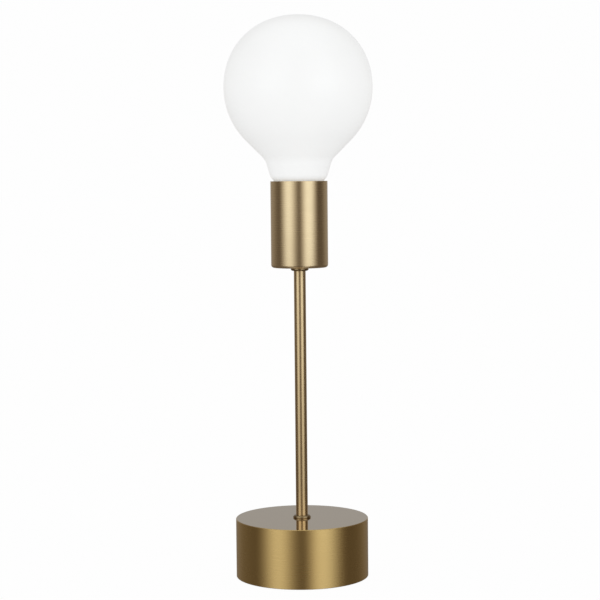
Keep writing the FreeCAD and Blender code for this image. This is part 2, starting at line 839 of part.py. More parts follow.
def filament_supports():
    """Wires from the glass stem to both ends of every filament, trimmed where they meet them."""
    mount, filaments = glass_mount(), led_filaments()
    wires = []
    for low, high in filament_ends():
        for height, end in ((mount_waist - support_drop, low), (mount_tip - support_drop / 2, high)):
            start = UP * height
            wire = Part.makeCylinder(support_radius, (end - start).Length, start, end - start)
            wires.append(wire.cut([mount, filaments]))
    return Part.makeCompound(wires)


def driver_board():
    """Small circuit board upright in the cap, with its capacitor beside it."""
    half = Vector(board_width / 2, board_thickness / 2, 0)
    return box(UP * board_bottom - half, UP * (board_bottom + board_height) + half)


def driver_capacitor():
    bottom = board_bottom + capacitor_rise
    top = bottom + capacitor_height
    can = turned([
        (0, bottom), (capacitor_radius, bottom, 0.5), (capacitor_radius, top, 0.8), (0, top)])
    can.translate(TO_REAR * (board_thickness / 2 + capacitor_radius + slip_gap))
    return can


def lead_wires():
    """Two bare leads from the board up into the glass stem's foot."""
    leads = []
    for side in (-1, 1):
        place = Vector(side * lead_offset, 0, 0)
        leads.append(drum(support_radius, board_bottom + board_height, glass_foot, place))
    return Part.makeCompound(leads)


# ---- wiring in the base and the stem

def pole_places():
    first = -block_pitch * (block_poles - 1) / 2
    return [Vector(first + block_pitch * i, block_rear, 0) for i in range(block_poles)]


def fixing_places():
    """Screws between the poles that hold the block to the weight."""
    poles = pole_places()
    return [(a + b) * 0.5 for a, b in zip(poles, poles[1:])]


def clamp_places():
    shift = TO_REAR * clamp_screw_offset
    return [place + shift * side for place in pole_places() for side in (-1, 1)]


def terminal_block():
    """Moulded three-pole connector, screw heads facing down."""
    poles = pole_places()
    half = Vector(block_end, block_depth / 2, 0)
    low = poles[0] - half + UP * (weight_floor - block_height)
    high = poles[-1] + half + UP * weight_floor
    block = box(low, high)
    upright = [edge for edge in block.Edges if abs(edge.tangentAt(edge.FirstParameter).z) > 0.9]
    block = block.makeFillet(1.0, upright)
    for place in fixing_places():
        groove = Vector(block_groove / 2, block_depth, 0)
        block = block.cut(box(
            place - groove + UP * low.z, place + groove + UP * (low.z + block_groove_depth)))
        block = block.cut(drum(fixing_screw_radius + hole_gap, low.z, weight_floor, place))
        seat = low.z + block_groove_depth
        block = block.cut(drum(fixing_head_radius + hole_gap, low.z, seat, place))
    for place in poles:
        start = Vector(place.x, low.y, barrel_axis)
        bore = Part.makeCylinder(barrel_outer + slip_gap, block_depth, start, TO_REAR)
        block = block.cut(bore)
    for place in clamp_places():
        block = block.cut(drum(clamp_screw_radius + 2 * hole_gap, low.z, barrel_axis, place))
    return block


def block_barrels():
    """Brass tube of each pole, with two tapped holes from below."""
    barrels = []
    for place in pole_places():
        start = Vector(place.x, place.y - barrel_length / 2, barrel_axis)
        barrel = Part.makeCylinder(barrel_outer, barrel_length, start, TO_REAR)
        barrel = barrel.cut(Part.makeCylinder(barrel_bore, barrel_length, start, TO_REAR))
        for side in (-1, 1):
            hole_place = place + TO_REAR * clamp_screw_offset * side
            bottom = barrel_axis - barrel_outer
            barrel = barrel.cut(drum(clamp_screw_radius + slip_gap, bottom, barrel_axis, hole_place))
        barrels.append(barrel)
    return Part.makeCompound(barrels)


def clamp_screws():
    """Two screws in each pole, their tips just under the wire."""
    bottom = weight_floor - block_height + clamp_screw_inset
    tip = barrel_axis - wire_radius - slip_gap
    screws = []
    for place in clamp_places():
        screw = drum(clamp_screw_radius, bottom, tip, place)
        slot_half = clamp_screw_radius * 0.2
        reach = Vector(clamp_screw_radius, slot_half, 0)
        slot = box(place - reach + UP * bottom, place + reach + UP * (bottom + grub_slot_depth))
        screws.append(screw.cut(slot))
    return Part.makeCompound(screws)


def block_screws():
    seat = weight_floor - block_height + block_groove_depth
    length = weight_floor + fixing_bite - seat
    screws = []
    for place in fixing_places():
        screw = slotted_screw(
            fixing_screw_radius, length, fixing_head_radius, fixing_head_height)
        screw.translate(place + UP * seat)
        screws.append(screw)
    return Part.makeCompound(screws)


def feed_wire(side, pole):
    """Wire from a pole of the block, up the stem and out to a lampholder terminal."""
    terminal_bottom = core_bottom + terminal_inset - terminal_height
    in_tube = Vector(side * wire_offset, 0, 0)
    at_terminal = Vector(side * terminal_offset, 0, 0)
    points = [
        Vector(pole.x, pole.y, barrel_axis),
        Vector(pole.x, pole.y - block_depth / 2 - feed_run, barrel_axis),
        in_tube + UP * barrel_axis,
        in_tube + UP * (stem_top + wire_bush_flange + fan_lead),
        at_terminal + UP * (terminal_bottom - fan_landing),
        at_terminal + UP * (terminal_bottom + terminal_hole_depth)]
    return laid_wire(points, wire_bend, wire_radius)


def earth_wire():
    """Wire from the earth pole to the lug on the weight."""
    pole = pole_places()[0]
    lug_height = weight_floor - lug_barrel_radius - slip_gap
    barrel_end = lug_place.x + lug_radius + lug_barrel_length - lug_lap
    points = [
        Vector(barrel_end - lug_barrel_inset, lug_place.y, lug_height),
        Vector(pole.x, lug_place.y, lug_height),
        Vector(pole.x, pole.y - block_depth / 2 - feed_run, barrel_axis),
        Vector(pole.x, pole.y, barrel_axis)]
    return laid_wire(points, wire_bend, wire_radius)


def earth_lug():
    """Ring tongue under the weight with a crimped barrel towards the block."""
    ring_tongue = drum(lug_radius, weight_floor - lug_sheet, weight_floor, lug_place)
    lug_height = weight_floor - lug_barrel_radius - slip_gap
    start = Vector(lug_place.x + lug_radius - lug_lap, lug_place.y, lug_height)
    barrel = Part.makeCylinder(lug_barrel_radius, lug_barrel_length, start, TO_RIGHT)
    bore = Part.makeCylinder(wire_radius + slip_gap, lug_barrel_length, start, TO_RIGHT)
    hole = drum(
        earth_screw_radius + slip_gap, weight_floor - lug_sheet, weight_floor, lug_place)
    return ring_tongue.cut(bore).fuse(barrel.cut(bore)).cut(hole).removeSplitter()


def earth_screw():
    seat = weight_floor - lug_sheet
    length = lug_sheet + earth_screw_bite
    screw = slotted_screw(
        earth_screw_radius, length, lug_radius - earth_head_inset, earth_head_height)
    screw.translate(lug_place + UP * seat)
    return screw


def lamp():
    """Every piece of the lamp under its own name."""
    poles = pole_places()
    return {
        "base_shell": base_shell(),
        "base_weight": base_weight(),
        "base_cover": base_cover(),
        "cover_screws": cover_screws(),
        "rubber_feet": rubber_feet(),
        "cord_bush": cord_bush(),
        "stem_tube": stem_tube(),
        "stem_washer": stem_washer(),
        "stem_nut": stem_nut(),
        "tube_bushes": tube_bushes(),
        "lower_collar": collar(base_height, 1, lower_collar_edge, lower_collar_height),
        "upper_collar": collar(cup_bottom, -1, upper_collar_edge, upper_collar_height),
        "socket_cup": socket_cup(),
        "cup_washer": cup_washer(),
        "cup_nut": cup_nut(),
        "holder_dome": holder_dome(),
        "holder_set_screw": holder_set_screw(),
        "holder_core": holder_core(),
        "holder_barrel": holder_barrel(),
        "terminal_blocks": terminal_blocks(),
        "terminal_screws": terminal_screws(),
        "contact_rivets": contact_rivets(),
        "thread_shell": thread_shell(),
        "contact_root": contact_root(),
        "contact_leaf": contact_leaf(),
        "connector_housing": terminal_block(),
        "connector_barrels": block_barrels(),
        "connector_clamp_screws": clamp_screws(),
        "connector_fixing_screws": block_screws(),
        "live_wire": feed_wire(1, poles[2]),
        "neutral_wire": feed_wire(-1, poles[1]),
        "earth_wire": earth_wire(),
        "earth_lug": earth_lug(),
        "earth_screw": earth_screw(),
        "cap_contact": cap_contact(),
        "cap_insulator": cap_insulator(),
        "bulb_cap": bulb_cap(),
        "bulb_globe": bulb_globe(),
        "glass_mount": glass_mount(),
        "led_filaments": led_filaments(),
        "filament_supports": filament_supports(),
        "driver_board": driver_board(),
        "driver_capacitor": driver_capacitor(),
        "lead_wires": lead_wires(),
    }


os.makedirs("parts", exist_ok=True)
for name, shape in lamp().items():
    if not shape.isValid():
        print("not valid:", name)
    print("%-24s %2d solids  %10.1f mm3" % (name, len(shape.Solids), shape.Volume))
    shape.exportStep("parts/%s.step" % name)
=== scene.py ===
import bpy
import json
import math
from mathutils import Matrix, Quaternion, Vector


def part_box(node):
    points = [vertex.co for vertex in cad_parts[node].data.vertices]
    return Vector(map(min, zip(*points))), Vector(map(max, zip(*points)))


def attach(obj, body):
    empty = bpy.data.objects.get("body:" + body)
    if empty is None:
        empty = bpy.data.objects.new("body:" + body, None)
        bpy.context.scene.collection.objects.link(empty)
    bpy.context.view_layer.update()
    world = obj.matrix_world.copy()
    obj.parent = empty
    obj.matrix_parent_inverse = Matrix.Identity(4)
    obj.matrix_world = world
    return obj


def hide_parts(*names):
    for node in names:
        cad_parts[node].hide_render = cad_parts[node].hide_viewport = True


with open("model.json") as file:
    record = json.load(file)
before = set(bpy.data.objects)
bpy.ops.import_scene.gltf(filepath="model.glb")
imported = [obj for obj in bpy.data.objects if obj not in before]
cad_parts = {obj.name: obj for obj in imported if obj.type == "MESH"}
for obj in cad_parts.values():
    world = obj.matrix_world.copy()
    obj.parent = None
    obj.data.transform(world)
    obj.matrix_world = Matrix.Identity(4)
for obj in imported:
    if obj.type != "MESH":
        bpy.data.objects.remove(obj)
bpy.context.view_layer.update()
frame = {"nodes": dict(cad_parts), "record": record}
mm = 0.001
noiseLow, noiseHigh = 0.3, 0.7  # most of a noise texture's values lie between these
print("frame loaded")


# small tools for modelling by hand

def deselectAll():
    if bpy.context.object and bpy.context.object.mode != "OBJECT":
        bpy.ops.object.mode_set(mode="OBJECT")
    bpy.ops.object.select_all(action="DESELECT")


def pick(piece):
    deselectAll()
    piece.select_set(True)
    bpy.context.view_layer.objects.active = piece


def place(piece):
    # the object goes back to the origin, its place goes into the mesh
    pick(piece)
    bpy.ops.object.transform_apply(location=True, rotation=True, scale=True)
    return piece


def useModifier(piece, kind, **values):
    pick(piece)
    modifier = piece.modifiers.new(kind.title(), kind)
    for key, value in values.items():
        setattr(modifier, key, value)
    bpy.ops.object.modifier_apply(modifier=modifier.name)
    return piece


def roundOutline(corners, arcStep=9.0):
    # (radius, height, round) corners to a line of (radius, height) points, round stretches as arcs
    line = []
    for index, corner in enumerate(corners):
        here = Vector(corner[:2])
        bend = corner[2] if len(corner) > 2 else 0
        if not bend:
            line.append(here)
            continue
        back = (Vector(corners[index - 1][:2]) - here).normalized()
        ahead = (Vector(corners[(index + 1) % len(corners)][:2]) - here).normalized()
        half = back.angle(ahead) / 2
        centre = here + (back + ahead).normalized() * (bend / math.sin(half))
        sweep = math.pi - 2 * half
        first = here + back * (bend / math.tan(half)) - centre
        turn = 1 if back.x * ahead.y - back.y * ahead.x < 0 else -1
        count = max(2, math.ceil(math.degrees(sweep) / arcStep))
        for step in range(count + 1):
            angle = turn * sweep * step / count
            line.append(centre + Vector((
                first.x * math.cos(angle) - first.y * math.sin(angle),
                first.x * math.sin(angle) + first.y * math.cos(angle))))
    return line


def turnPiece(name, line, steps, closed=True):
    # a circle drawn up ring by ring along the line, sizes in mm
    deselectAll()
    rings = [Vector(point[:2]) for point in line]
    firstPole = rings[0].x < 1e-6
    if firstPole:
        pole = rings.pop(0)
    bpy.ops.mesh.primitive_circle_add(
        vertices=steps, radius=rings[0].x * mm, location=(0, 0, rings[0].y * mm))
    piece = bpy.context.object
    piece.name = name
    place(piece)
    bpy.ops.object.mode_set(mode="EDIT")
    bpy.ops.mesh.select_mode(type="EDGE")
    bpy.ops.mesh.select_all(action="SELECT")
    last = rings[0]
    loop = rings[1:] + ([rings[0]] if closed and not firstPole and rings[-1].x > 1e-6 else [])
    for ring in loop:
        bpy.ops.mesh.extrude_edges_move(
            TRANSFORM_OT_translate={"value": (0, 0, (ring.y - last.y) * mm)})
        if ring.x < 1e-6:
            bpy.ops.mesh.merge(type="CENTER")
            break
        if abs(ring.x - last.x) > 1e-9:
            factor = ring.x / last.x
            bpy.ops.transform.resize(
                value=(factor, factor, 1), center_override=(0, 0, ring.y * mm))
        last = ring
    if firstPole:
        bpy.ops.mesh.select_all(action="DESELECT")
        bpy.ops.mesh.select_mode(type="VERT")
        bpy.ops.mesh.select_non_manifold(
            extend=False, use_wire=False, use_boundary=True, use_multi_face=False,
            use_non_contiguous=False, use_verts=False)
        bpy.ops.mesh.select_mode(type="EDGE")
        bpy.ops.mesh.extrude_edges_move(
            TRANSFORM_OT_translate={"value": (0, 0, (pole.y - rings[0].y) * mm)})
        bpy.ops.mesh.merge(type="CENTER")
    bpy.ops.mesh.select_mode(type="VERT")
    bpy.ops.mesh.select_all(action="SELECT")
    bpy.ops.mesh.remove_doubles(threshold=1e-7)
    bpy.ops.mesh.normals_make_consistent(inside=False)
    bpy.ops.object.mode_set(mode="OBJECT")
    return piece


def smooth(piece, angle=32.0):
    pick(piece)
    bpy.ops.object.shade_smooth_by_angle(angle=math.radians(angle))
    return piece


def cutHole(piece, cutter):
    useModifier(piece, "BOOLEAN", object=cutter, operation="DIFFERENCE", solver="EXACT")
    bpy.data.objects.remove(cutter)


def boxOf(node):
    low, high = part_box(node)
    return Vector(low) / mm, Vector(high) / mm


def finishPiece(piece, body, nodes, material):
    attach(piece, body)
    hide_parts(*nodes)
    piece.data.materials.clear()
    piece.data.materials.append(material)
    return piece


# finishes

def newGroup(name, inputs, outputs):
    group = bpy.data.node_groups.new(name, "ShaderNodeTree")
    for title, kind, value in inputs:
        socket = group.interface.new_socket(title, in_out="INPUT", socket_type=kind)
        if value is not None:
            socket.default_value = value
    for title, kind in outputs:
        group.interface.new_socket(title, in_out="OUTPUT", socket_type=kind)
    start = group.nodes.new("NodeGroupInput")
    end = group.nodes.new("NodeGroupOutput")
    return group, start, end


def addNode(tree, kind, values=None, links=None):
    # values go to sockets by name or number, or to properties; links name the socket they feed
    node = tree.nodes.new(kind)
    for key, value in (values or {}).items():
        if isinstance(key, int) or key in node.inputs:
            node.inputs[key].default_value = value
        else:
            setattr(node, key, value)
    for key, source in (links or {}).items():
        tree.links.new(source, node.inputs[key])
    return node


def stretchedNoise(tree, coords, scale, detail, rough):
    mapping = addNode(tree, "ShaderNodeMapping", {"Scale": scale}, {"Vector": coords})
    noise = addNode(
        tree, "ShaderNodeTexNoise", {"Scale": 1.0, "Detail": detail, "Roughness": rough},
        {"Vector": mapping.outputs[0]})
    return noise.outputs[0]


def mapRange(tree, source, low, high, toLow, toHigh):
    node = addNode(tree, "ShaderNodeMapRange", {
        "From Min": low, "From Max": high, "To Min": toLow, "To Max": toHigh},
        {"Value": source})
    return node.outputs[0]


def math2(tree, operation, first, second):
    node = tree.nodes.new("ShaderNodeMath")
    node.operation = operation
    for index, value in enumerate((first, second)):
        if isinstance(value, (int, float)):
            node.inputs[index].default_value = value
        else:
            tree.links.new(value, node.inputs[index])
    return node.outputs[0]


# noises: scale along x, y and z, then detail and roughness
brushSettings = {
    "fine": ((26, 26, 5200), 2.0, 0.6), "coarse": ((60, 60, 1900), 3.0, 0.55),
    "fineShare": 0.6, "coarseShare": 0.4, "deep": ((90, 90, 1300), 1.0, 0.5), "deepEdge": (0.66, 0.8),
}
markSettings = {
    "patches": ((38, 38, 38), 4.0, 0.6), "patchEdge": (0.5, 0.72),
    "warpScale": 60.0, "warp": 0.03, "cellScale": 55.0, "hairWidth": 0.004,
    "sparse": ((70, 70, 70), 1.0, 0.5), "sparseEdge": (0.56, 0.62),
}


def makeBrushGroup():
    # fine lines that run round the Z axis, with a few deeper ones
    s = brushSettings
    group, start, end = newGroup("brushedLines", [
        ("Coords", "NodeSocketVector", None), ("Fineness", "NodeSocketFloat", 1.0)],
        [("Lines", "NodeSocketFloat"), ("Deep", "NodeSocketFloat")])
    scaled = addNode(group, "ShaderNodeVectorMath", {"operation": "SCALE"}, {
        0: start.outputs["Coords"], 3: start.outputs["Fineness"]}).outputs[0]
    fine = math2(group, "MULTIPLY", stretchedNoise(group, scaled, *s["fine"]), s["fineShare"])
    coarse = math2(group, "MULTIPLY", stretchedNoise(group, scaled, *s["coarse"]), s["coarseShare"])
    deep = mapRange(group, stretchedNoise(group, scaled, *s["deep"]), *s["deepEdge"], 0.0, 1.0)
    group.links.new(math2(group, "ADD", fine, coarse), end.inputs["Lines"])
    group.links.new(deep, end.inputs["Deep"])
    return group


def makeHandlingGroup():
    # light handling marks: smudges and a sparse scatter of hairline scratches
    s = markSettings
    group, start, end = newGroup("handlingMarks", [("Coords", "NodeSocketVector", None)],
                                 [("Smudge", "NodeSocketFloat"), ("Scratch", "NodeSocketFloat")])
    coords = start.outputs["Coords"]
    patches = stretchedNoise(group, coords, *s["patches"])
    smudge = mapRange(group, patches, *s["patchEdge"], 0.0, 1.0)
    warp = addNode(
        group, "ShaderNodeTexNoise", {"Scale": s["warpScale"], "Detail": 1.0}, {"Vector": coords})
    bent = addNode(group, "ShaderNodeMix", {"data_type": "VECTOR", 0: s["warp"]}, {
        4: coords, 5: warp.outputs[1]})
    cells = addNode(group, "ShaderNodeTexVoronoi", {
        "feature": "DISTANCE_TO_EDGE", "Scale": s["cellScale"]}, {"Vector": bent.outputs[1]})
    hair = mapRange(group, cells.outputs["Distance"], 0.0, s["hairWidth"], 1.0, 0.0)
    sparse = stretchedNoise(group, coords, *s["sparse"])
    gate = mapRange(group, sparse, *s["sparseEdge"], 0.0, 1.0)
    group.links.new(smudge, end.inputs["Smudge"])
    group.links.new(math2(group, "MULTIPLY", hair, gate), end.inputs["Scratch"])
    return group


brushGroup = makeBrushGroup()
handlingGroup = makeHandlingGroup()


def useGroup(tree, group, values=None, links=None):
    node = tree.nodes.new("ShaderNodeGroup")
    node.node_tree = group
    for key, value in (values or {}).items():
        node.inputs[key].default_value = value
    for key, source in (links or {}).items():
        tree.links.new(source, node.inputs[key])
    return node


def startMaterial(name, settings):
    material = bpy.data.materials.new(name)
    material.use_nodes = True
    tree = material.node_tree
    shader = tree.nodes["Principled BSDF"]
    for key, value in settings.items():
        shader.inputs[key].default_value = value
    coords = tree.nodes.new("ShaderNodeTexCoord").outputs["Object"]
    return material, tree, shader, coords


def mixColour(tree, factor, first, second):
    node = tree.nodes.new("ShaderNodeMix")
    node.data_type = "RGBA"
    for index, value in ((0, factor), (6, first), (7, second)):
        if hasattr(value, "is_linked"):
            tree.links.new(value, node.inputs[index])
        else:
            node.inputs[index].default_value = value
    return node.outputs[2]


def bumpNormal(tree, shader, height, strength, distance):
    bump = addNode(tree, "ShaderNodeBump", {"Strength": strength, "Distance": distance}, {
        "Height": height})
    tree.links.new(bump.outputs[0], shader.inputs["Normal"])


# colour is the lacquered brass, foot a darker colour low on the stem that is painted shade, deep the
# bottom of a brushed line
brassSettings = {
    # stem: brass darker than the cup's, painted shade of the light falling off downwards
    "stem": {
        "colour": (0.735, 0.575, 0.335, 1), "foot": (0.57, 0.43, 0.235, 1),
        "deep": (0.46, 0.33, 0.145, 1), "fineness": 1.2, "rough": 0.27, "bump": 0.025},
    "cup": {
        "colour": (0.825, 0.67, 0.415, 1), "deep": (0.54, 0.39, 0.185, 1),
        "fineness": 1.0, "rough": 0.28, "bump": 0.06},
    # drum: a warmer brass tone of its own, made darker than the cup's as painted shade of the light
    # falling off towards the table
    "drum": {
        "colour": (0.70, 0.505, 0.207, 1), "deep": (0.46, 0.30, 0.10, 1),
        "fineness": 1.0, "rough": 0.28, "bump": 0.06},
    # collar: the brass painted far darker than the stem's, painted shade for the dim light on and
    # under the collars
    "collar": {
        "colour": (0.37, 0.28, 0.155, 1), "deep": (0.28, 0.20, 0.09, 1),
        "fineness": 1.4, "rough": 0.24, "bump": 0.025},
    "aniso": 0.9, "anisoTurn": 0.25, "footHeight": 0.05, "headHeight": 0.26,
    "lineTone": 0.07, "deepTone": 0.12, "roughSpread": 0.018, "smudge": 0.025,
    "bumpDepth": 0.00004,
}
polishedSettings = {"colour": (0.78, 0.635, 0.44, 1), "rough": 0.05, "smudge": 0.02, "scratch": 0.03}
opalSettings = {
    "deep": (0.635, 0.64, 0.64, 1), "pale": (0.655, 0.66, 0.66, 1), "rough": (0.34, 0.42),
    "cloud": ((14, 14, 14), 3.0, 0.5), "cloudEdge": (0.35, 0.65),
    "glowColour": (0.93, 0.935, 0.93, 1), "glow": 0.36,
}
clearSettings = {
    "colour": (0.95, 0.98, 0.97, 1), "rough": (0.02, 0.06), "cloud": ((90, 90, 40), 2.0, 0.5),
}
generalSettings = {
    "grain": (3.0, 0.6), "cloud": ((45, 45, 45), 3.0, 0.6), "uneven": (0.7, 1.3),
    "darker": 3, "lift": 0.004, "roughSpread": 0.12, "smudge": 0.03, "bumpDepth": 0.00005,
}


def makeBrass(name, s):
    shared = brassSettings
    material, tree, shader, coords = startMaterial(name, {
        "Metallic": 1.0, "Anisotropic": shared["aniso"],
        "Anisotropic Rotation": shared["anisoTurn"]})
    lines = useGroup(tree, brushGroup, {"Fineness": s["fineness"]}, {"Coords": coords})
    marks = useGroup(tree, handlingGroup, None, {"Coords": coords})
    height = addNode(tree, "ShaderNodeSeparateXYZ", None, {0: coords}).outputs[2]
    # painted shade: a finish with a foot colour darkens from headHeight down to footHeight, for the
    # light falling off towards the table
    rise = mapRange(tree, height, shared["footHeight"], shared["headHeight"], 0.0, 1.0)
    lacquerAndPaintedShade = mixColour(tree, rise, s.get("foot", s["colour"]), s["colour"])
    tone = mapRange(tree, lines.outputs["Lines"], noiseLow, noiseHigh, 0.0, shared["lineTone"])
    lined = mixColour(tree, tone, lacquerAndPaintedShade, s["deep"])
    worn = mixColour(
        tree, math2(tree, "MULTIPLY", lines.outputs["Deep"], shared["deepTone"]), lined, s["deep"])
    tree.links.new(worn, shader.inputs["Base Color"])
    spread = mapRange(
        tree, lines.outputs["Lines"], noiseLow, noiseHigh,
        s["rough"] - shared["roughSpread"], s["rough"] + shared["roughSpread"])
    roughness = math2(
        tree, "ADD", spread, math2(tree, "MULTIPLY", marks.outputs["Smudge"], shared["smudge"]))
    tree.links.new(roughness, shader.inputs["Roughness"])
    tangent = addNode(tree, "ShaderNodeTangent", {"direction_type": "RADIAL", "axis": "Z"})
    tree.links.new(tangent.outputs[0], shader.inputs["Tangent"])
    bumpNormal(tree, shader, lines.outputs["Lines"], s["bump"], shared["bumpDepth"])
    return material


def makePolishedBrass(name):
    # the flat top is polished: it mirrors the stem
    s = polishedSettings
    material, tree, shader, coords = startMaterial(name, {
        "Metallic": 1.0, "Base Color": s["colour"]})
    marks = useGroup(tree, handlingGroup, None, {"Coords": coords})
    smudged = math2(
        tree, "ADD", math2(tree, "MULTIPLY", marks.outputs["Smudge"], s["smudge"]), s["rough"])
    scratched = math2(
        tree, "ADD", smudged, math2(tree, "MULTIPLY", marks.outputs["Scratch"], s["scratch"]))
    tree.links.new(scratched, shader.inputs["Roughness"])
    return material


def makeGeneral(name, colour, metallic, rough, speckle, grainScale, bump):
    # moulded, cast and plated finishes: a slightly uneven colour, roughness and a fine skin
    s = generalSettings
    material, tree, shader, coords = startMaterial(name, {"Metallic": metallic})
    grain = stretchedNoise(tree, coords, (grainScale,) * 3, *s["grain"])
    cloud = stretchedNoise(tree, coords, *s["cloud"])
    marks = useGroup(tree, handlingGroup, None, {"Coords": coords})
    dark = tuple(channel * (1 - s["darker"] * speckle) for channel in colour) + (1,)
    light = tuple(min(1, channel * (1 + speckle) + s["lift"]) for channel in colour) + (1,)
    uneven = mapRange(tree, math2(tree, "ADD", grain, cloud), *s["uneven"], 0.0, 1.0)
    tree.links.new(mixColour(tree, uneven, dark, light), shader.inputs["Base Color"])
    spread = mapRange(
        tree, cloud, noiseLow, noiseHigh,
        rough * (1 - s["roughSpread"]), rough * (1 + s["roughSpread"]))
    smudge = math2(tree, "MULTIPLY", marks.outputs["Smudge"], s["smudge"])
    tree.links.new(math2(tree, "ADD", spread, smudge), shader.inputs["Roughness"])
    bumpNormal(tree, shader, grain, bump, s["bumpDepth"])
    return material


def makeOpal(name):
    # white flashed glass; its weak glow stands for the light that spreads inside the wall
    s = opalSettings
    material, tree, shader, coords = startMaterial(name, {
        "Metallic": 0.0, "Coat Weight": 0.0, "IOR": 1.45,
        "Emission Color": s["glowColour"], "Emission Strength": s["glow"]})
    cloud = stretchedNoise(tree, coords, *s["cloud"])
    colour = mixColour(tree, mapRange(tree, cloud, *s["cloudEdge"], 0.0, 1.0), s["deep"], s["pale"])
    tree.links.new(colour, shader.inputs["Base Color"])
    roughness = mapRange(tree, cloud, noiseLow, noiseHigh, *s["rough"])
    tree.links.new(roughness, shader.inputs["Roughness"])
    return material


def makeClearGlass(name):
    s = clearSettings
    material, tree, shader, coords = startMaterial(name, {
        "Metallic": 0.0, "Transmission Weight": 1.0, "IOR": 1.47, "Base Color": s["colour"]})
    cloud = stretchedNoise(tree, coords, *s["cloud"])
    roughness = mapRange(tree, cloud, noiseLow, noiseHigh, *s["rough"])
    tree.links.new(roughness, shader.inputs["Roughness"])
    return material


# slot: name, colour, metallic, rough, speckle, grain scale, bump
plainFinishes = {
    "cast_iron": ("sandCastIron", (0.10, 0.10, 0.105), 0.6, 0.72, 0.12, 420.0, 0.5),
    "black_lacquer": ("blackLacquer", (0.022, 0.022, 0.024), 0.0, 0.42, 0.08, 1400.0, 0.25),
    "foot_rubber": ("footRubber", (0.03, 0.03, 0.031), 0.0, 0.78, 0.1, 700.0, 0.3),
    "black_nylon": ("blackNylon", (0.026, 0.026, 0.028), 0.0, 0.5, 0.08, 1100.0, 0.2),
    "zinc_steel": ("zincSteel", (0.60, 0.61, 0.63), 1.0, 0.32, 0.04, 600.0, 0.1),
    "contact_brass": ("contactBrass", (0.78, 0.58, 0.28), 1.0, 0.28, 0.05, 500.0, 0.08),
    "spring_bronze": ("springBronze", (0.74, 0.48, 0.28), 1.0, 0.3, 0.05, 500.0, 0.08),
    "connector_nylon": ("connectorNylon", (0.78, 0.77, 0.71), 0.0, 0.42, 0.03, 900.0, 0.1),
    "black_phenolic": ("blackPhenolic", (0.018, 0.017, 0.016), 0.0, 0.24, 0.12, 800.0, 0.06),
    "steatite": ("steatite", (0.80, 0.77, 0.69), 0.0, 0.62, 0.04, 900.0, 0.25),
    "brown_insulation": ("brownInsulation", (0.15, 0.06, 0.025), 0.0, 0.4, 0.05, 900.0, 0.05),
    "blue_insulation": ("blueInsulation", (0.03, 0.13, 0.45), 0.0, 0.4, 0.05, 900.0, 0.05),
    "earth_insulation": ("earthInsulation", (0.20, 0.45, 0.06), 0.0, 0.4, 0.05, 900.0, 0.05),
    "black_glass": ("blackGlass", (0.015, 0.015, 0.02), 0.0, 0.12, 0.1, 500.0, 0.03),
    "nickel_cap": ("nickelPlate", (0.72, 0.70, 0.65), 1.0, 0.22, 0.03, 500.0, 0.05),
    "solder": ("solderTin", (0.66, 0.67, 0.68), 1.0, 0.35, 0.05, 300.0, 0.4),
    "led_phosphor": ("ledPhosphor", (0.85, 0.55, 0.08), 0.0, 0.4, 0.04, 900.0, 0.1),
    "nickel_wire": ("nickelWire", (0.62, 0.60, 0.56), 1.0, 0.3, 0.04, 500.0, 0.05),
    "board_green": ("boardGreen", (0.02, 0.17, 0.07), 0.0, 0.35, 0.05, 900.0, 0.05),
    "capacitor_sleeve": ("capacitorSleeve", (0.03, 0.03, 0.06), 0.0, 0.25, 0.05, 700.0, 0.04),
}
cupBrass = makeBrass("brushedBrassCup", brassSettings["cup"])
stemBrass = makeBrass("brushedBrassStem", brassSettings["stem"])
drumBrass = makeBrass("brushedBrassDrum", brassSettings["drum"])
shadedCollarBrass = makeBrass("turnedBrassCollarPaintedShade", brassSettings["collar"])
polishedBrass = makePolishedBrass("polishedBrassTop")
slotMaterials = {slot: makeGeneral(*finish) for slot, finish in plainFinishes.items()}
slotMaterials["brushed_brass"] = cupBrass
slotMaterials["opal_glass"] = makeOpal("opalGlass")
slotMaterials["clear_glass"] = makeClearGlass("mountGlass")
for row in frame["record"]["subparts"]:
    node = frame["nodes"][row["node"]]
    node.data.materials.clear()
    node.data.materials.append(slotMaterials[row["material_slot"]])
print("finishes made:", len(bpy.data.materials))


# base drum: flat polished top, crisp bevel, brushed side, hole for the cord bush

baseSettings = {
    "wall": 1.2, "top": 1.5, "bevel": 0.45, "hole": 5.2, "innerCorner": 1.0, "hem": 0.35,
    "inletRadius": 4.55, "inletSteps": 64, "cutDepth": 12, "steps": 256,
}


def makeBase():
    s = baseSettings
    low, high = boxOf("base_shell")
    outer = high.x
    inside = outer - s["wall"]
    ceiling = high.z - s["top"]
    line = roundOutline([
        (s["hole"], high.z), (outer - s["bevel"] * 2, high.z), (outer - s["bevel"], high.z),
        (outer, high.z - s["bevel"]), (outer, high.z - s["bevel"] * 2),
        (outer, low.z + s["hem"] * 2), (outer, low.z, s["hem"]), (inside, low.z, s["hem"]),
        (inside, ceiling, s["innerCorner"]), (s["hole"], ceiling)])
    drum = turnPiece("baseDrum", line, s["steps"])
    inlet = boxOf("cord_bush")
    centre = (inlet[0] + inlet[1]) / 2
    deselectAll()
    bpy.ops.mesh.primitive_cylinder_add(
        vertices=s["inletSteps"], radius=s["inletRadius"] * mm, depth=s["cutDepth"] * mm,
        location=(0, outer * mm, centre.z * mm), rotation=(math.pi / 2, 0, 0))
    cutHole(drum, place(bpy.context.object))
    smooth(drum, angle=20)
    finishPiece(drum, "stand", ["base_shell"], drumBrass)
    drum.data.materials.append(polishedBrass)
    topLimit = high.z * mm - 1e-6
    for face in drum.data.polygons:
        face.material_index = 1 if face.normal.z > 0.99 and face.center.z > topLimit else 0
    return drum


makeBase()
print("base made")


# stem and its two collars

stemSettings = {"wall": 1.0, "edge": 0.3, "steps": 96}
collarSettings = {
    "bore": 5.05, "throat": 1.2, "crown": 0.5, "round": 0.45, "steps": 96,
    "edges": {"lower_collar": 1.1, "upper_collar": 2.0},
}


